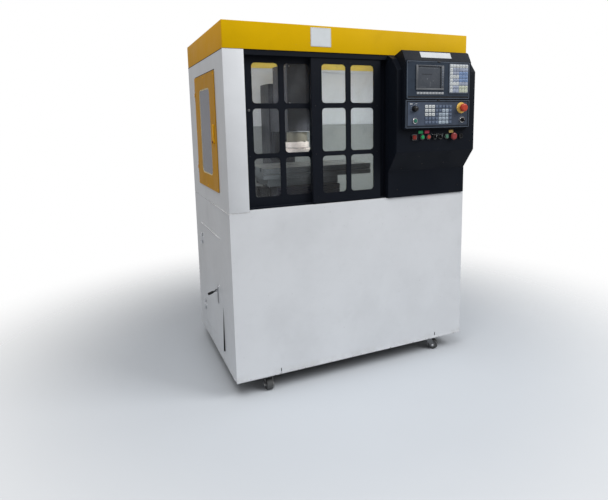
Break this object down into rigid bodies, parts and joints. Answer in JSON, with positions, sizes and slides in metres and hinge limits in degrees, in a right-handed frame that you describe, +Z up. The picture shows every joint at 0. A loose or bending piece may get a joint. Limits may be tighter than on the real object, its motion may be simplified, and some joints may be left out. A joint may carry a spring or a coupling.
{
  "type": "cnc milling machine",
  "caption": "Enclosed column-type milling machine in a sheet cabinet on casters, with by-pass sliding doors, side doors and an operator console.",
  "frame": {"origin": "centre of the overall box, on the floor", "axes": "+Z up, the doors and console face -Y, +X to the right when facing the console"},
  "size_m": [1.4068, 1.044, 1.78],
  "materials": {
    "white_paint": "satin powder coat, off-white",
    "yellow_paint": "satin powder coat, deep yellow",
    "black_paint": "satin powder coat, blue-black",
    "tray_paint": "light grey paint",
    "slate_plastic": "fine textured, dark slate",
    "screen": "dark screen cover",
    "keys": "sealed membrane keys",
    "bright_steel": "turned or zinc plated",
    "frame_paint": "dark grey paint on steel tube",
    "cast": "dark grey machine paint",
    "table_iron": "ground cast iron",
    "motor_black": "black lacquer",
    "clear_pane": "clear sheet",
    "wheel_rubber": "dark grey tread",
    "fork_zinc": "zinc plated, dull",
    "black_plastic": "moulded",
    "red_plastic": "moulded",
    "green_plastic": "moulded",
    "collar_metal": "bright bezel rings",
    "label_white": "blank plates",
    "handle_yellow": "painted lever"
  },
  "bodies": {
    "cabinet": {"base_frame": "frame_paint", "lower_cabinet": "white_paint", "chip_tray": "tray_paint", "upper_cabinet": "white_paint", "roof_cap": "yellow_paint", "door_track_frame": "black_paint", "console_housing": "black_paint", "operator_box": "black_paint", "display_unit": "slate_plastic", "display_screen": "screen", "membrane_keys": "keys", "operator_panel": "slate_plastic", "control_collars": "collar_metal", "label_plates": "label_white", "door_hinges": "bright_steel", "machine_stand": "frame_paint", "machine_bed": "cast", "column": "cast", "axis_motors": "motor_black", "electrics_box": "tray_paint", "power_gland": "black_plastic"},
    "left_door": {"left_door_frame": "black_paint", "left_door_window": "clear_pane", "left_door_pull": "bright_steel"},
    "right_door": {"right_door_frame": "black_paint", "right_door_window": "clear_pane"},
    "side_door": {"side_door_frame": "yellow_paint", "side_door_window": "clear_pane"},
    "side_handle": {"side_door_handle": "handle_yellow"},
    "lower_door": {"lower_door": "white_paint", "lower_latch_plate": "bright_steel"},
    "latch_lever": {"lower_latch_lever": "black_plastic"},
    "saddle": {"saddle": "cast", "x_motor": "motor_black"},
    "table": {"work_table": "table_iron"},
    "head": {"spindle_head": "cast", "head_cover": "cast"},
    "spindle": {"spindle": "bright_steel"},
    "x_screw": {"x_screw": "bright_steel"},
    "y_screw": {"y_screw": "bright_steel"},
    "z_screw": {"z_screw": "bright_steel"},
    "caster_fl": {"caster_fork_fl": "fork_zinc"},
    "wheel_fl": {"caster_wheel_fl": "wheel_rubber"},
    "caster_fr": {"caster_fork_fr": "fork_zinc"},
    "wheel_fr": {"caster_wheel_fr": "wheel_rubber"},
    "caster_rl": {"caster_fork_rl": "fork_zinc"},
    "wheel_rl": {"caster_wheel_rl": "wheel_rubber"},
    "caster_rr": {"caster_fork_rr": "fork_zinc"},
    "wheel_rr": {"caster_wheel_rr": "wheel_rubber"},
    "estop_button": {"estop_button": "red_plastic"},
    "mode_knob": {"mode_knob": "black_plastic"},
    "start_button": {"start_button": "green_plastic"},
    "override_knob": {"override_knob": "black_plastic"},
    "red_square_button": {"red_square_button": "red_plastic"},
    "green_button": {"green_button": "green_plastic"},
    "red_button": {"red_button": "red_plastic"},
    "selector_a": {"selector_a": "black_plastic"},
    "selector_b": {"selector_b": "black_plastic"},
    "green_button_b": {"green_button_b": "green_plastic"},
    "stop_mushroom": {"stop_mushroom": "red_plastic"}
  },
  "joints": [
    {"name": "left_door_slide", "type": "slide", "parent": "cabinet", "child": "left_door", "axis": [1, 0, 0], "range_m": [0, 0.32]},
    {"name": "right_door_slide", "type": "slide", "parent": "cabinet", "child": "right_door", "axis": [-1, 0, 0], "range_m": [0, 0.32]},
    {"name": "side_door_hinge", "type": "hinge", "parent": "cabinet", "child": "side_door", "pos_m": [-0.65258, 0.304, 1.29], "axis": [0, 0, -1], "range_deg": [0, 110]},
    {"name": "side_handle_turn", "type": "hinge", "parent": "side_door", "child": "side_handle", "pos_m": [-0.65458, -0.148, 1.242], "axis": [-1, 0, 0], "range_deg": [0, 90]},
    {"name": "lower_door_hinge", "type": "hinge", "parent": "cabinet", "child": "lower_door", "pos_m": [-0.65258, 0.327, 0.455], "axis": [0, 0, -1], "range_deg": [0, 110]},
    {"name": "latch_lever_fold", "type": "hinge", "parent": "lower_door", "child": "latch_lever", "pos_m": [-0.65658, -0.044, 0.453], "axis": [0, 1, 0], "range_deg": [-70, 15]},
    {"name": "caster_swivel_fl", "type": "hinge", "parent": "cabinet", "child": "caster_fl", "pos_m": [-0.47658, -0.322, 0.066], "axis": [0, 0, 1], "continuous": true},
    {"name": "wheel_spin_fl", "type": "hinge", "parent": "caster_fl", "child": "wheel_fl", "pos_m": [-0.47658, -0.344, 0.027], "axis": [1, 0, 0], "continuous": true},
    {"name": "caster_swivel_fr", "type": "hinge", "parent": "cabinet", "child": "caster_fr", "pos_m": [0.52142, -0.322, 0.066], "axis": [0, 0, 1], "continuous": true},
    {"name": "wheel_spin_fr", "type": "hinge", "parent": "caster_fr", "child": "wheel_fr", "pos_m": [0.53828, -0.33614, 0.027], "axis": [0.6428, 0.766, 0], "continuous": true},
    {"name": "caster_swivel_rl", "type": "hinge", "parent": "cabinet", "child": "caster_rl", "pos_m": [-0.47658, 0.448, 0.066], "axis": [0, 0, 1], "continuous": true},
    {"name": "wheel_spin_rl", "type": "hinge", "parent": "caster_rl", "child": "wheel_rl", "pos_m": [-0.47658, 0.426, 0.027], "axis": [1, 0, 0], "continuous": true},
    {"name": "caster_swivel_rr", "type": "hinge", "parent": "cabinet", "child": "caster_rr", "pos_m": [0.52142, 0.448, 0.066], "axis": [0, 0, 1], "continuous": true},
    {"name": "wheel_spin_rr", "type": "hinge", "parent": "caster_rr", "child": "wheel_rr", "pos_m": [0.52142, 0.426, 0.027], "axis": [1, 0, 0], "continuous": true},
    {"name": "y_axis", "type": "slide", "parent": "cabinet", "child": "saddle", "axis": [0, 1, 0], "range_m": [-0.075, 0.075]},
    {"name": "x_axis", "type": "slide", "parent": "saddle", "child": "table", "axis": [1, 0, 0], "range_m": [-0.2, 0.1]},
    {"name": "z_axis", "type": "slide", "parent": "cabinet", "child": "head", "axis": [0, 0, 1], "range_m": [-0.03, 0.125]},
    {"name": "spindle_spin", "type": "hinge", "parent": "head", "child": "spindle", "pos_m": [-0.14558, 0.028, 1.16], "axis": [0, 0, 1], "continuous": true},
    {"name": "y_screw_spin", "type": "hinge", "parent": "cabinet", "child": "y_screw", "pos_m": [-0.07658, 0.048, 0.878], "axis": [0, 1, 0], "continuous": true},
    {"name": "x_screw_spin", "type": "hinge", "parent": "saddle", "child": "x_screw", "pos_m": [-0.12358, 0.043, 0.952], "axis": [1, 0, 0], "continuous": true},
    {"name": "z_screw_spin", "type": "hinge", "parent": "cabinet", "child": "z_screw", "pos_m": [-0.14558, 0.24, 1.33], "axis": [0, 0, 1], "continuous": true},
    {"name": "estop_button_press", "type": "slide", "parent": "cabinet", "child": "estop_button", "axis": [0, 1, 0], "range_m": [0, 0.006], "stiffness_N_per_m": 1500, "springref_m": -0.002},
    {"name": "mode_knob_turn", "type": "hinge", "parent": "cabinet", "child": "mode_knob", "pos_m": [0.28642, -0.488, 1.387], "axis": [0, -1, 0], "range_deg": [-120, 120]},
    {"name": "start_button_press", "type": "slide", "parent": "cabinet", "child": "start_button", "axis": [0, 1, 0], "range_m": [0, 0.004], "stiffness_N_per_m": 800, "springref_m": -0.002},
    {"name": "override_knob_turn", "type": "hinge", "parent": "cabinet", "child": "override_knob", "pos_m": [0.58642, -0.488, 1.329], "axis": [0, -1, 0], "range_deg": [-135, 135]},
    {"name": "red_square_button_press", "type": "slide", "parent": "cabinet", "child": "red_square_button", "axis": [0, 1, 0], "range_m": [0, 0.004], "stiffness_N_per_m": 800, "springref_m": -0.002},
    {"name": "green_button_press", "type": "slide", "parent": "cabinet", "child": "green_button", "axis": [0, 1, 0], "range_m": [0, 0.004], "stiffness_N_per_m": 800, "springref_m": -0.002},
    {"name": "red_button_press", "type": "slide", "parent": "cabinet", "child": "red_button", "axis": [0, 1, 0], "range_m": [0, 0.004], "stiffness_N_per_m": 800, "springref_m": -0.002},
    {"name": "selector_a_turn", "type": "hinge", "parent": "cabinet", "child": "selector_a", "pos_m": [0.43442, -0.457, 1.244], "axis": [0, -1, 0], "range_deg": [-45, 45]},
    {"name": "selector_b_turn", "type": "hinge", "parent": "cabinet", "child": "selector_b", "pos_m": [0.47042, -0.457, 1.244], "axis": [0, -1, 0], "range_deg": [-45, 45]},
    {"name": "green_button_b_press", "type": "slide", "parent": "cabinet", "child": "green_button_b", "axis": [0, 1, 0], "range_m": [0, 0.004], "stiffness_N_per_m": 800, "springref_m": -0.002},
    {"name": "stop_mushroom_press", "type": "slide", "parent": "cabinet", "child": "stop_mushroom", "axis": [0, 1, 0], "range_m": [0, 0.004], "stiffness_N_per_m": 1200, "springref_m": -0.002}
  ],
  "couplings": [
    {"joint": "y_screw_spin", "follows": "y_axis", "rad_per_m": 628.32},
    {"joint": "x_screw_spin", "follows": "x_axis", "rad_per_m": 628.32},
    {"joint": "z_screw_spin", "follows": "z_axis", "rad_per_m": 628.32}
  ]
}
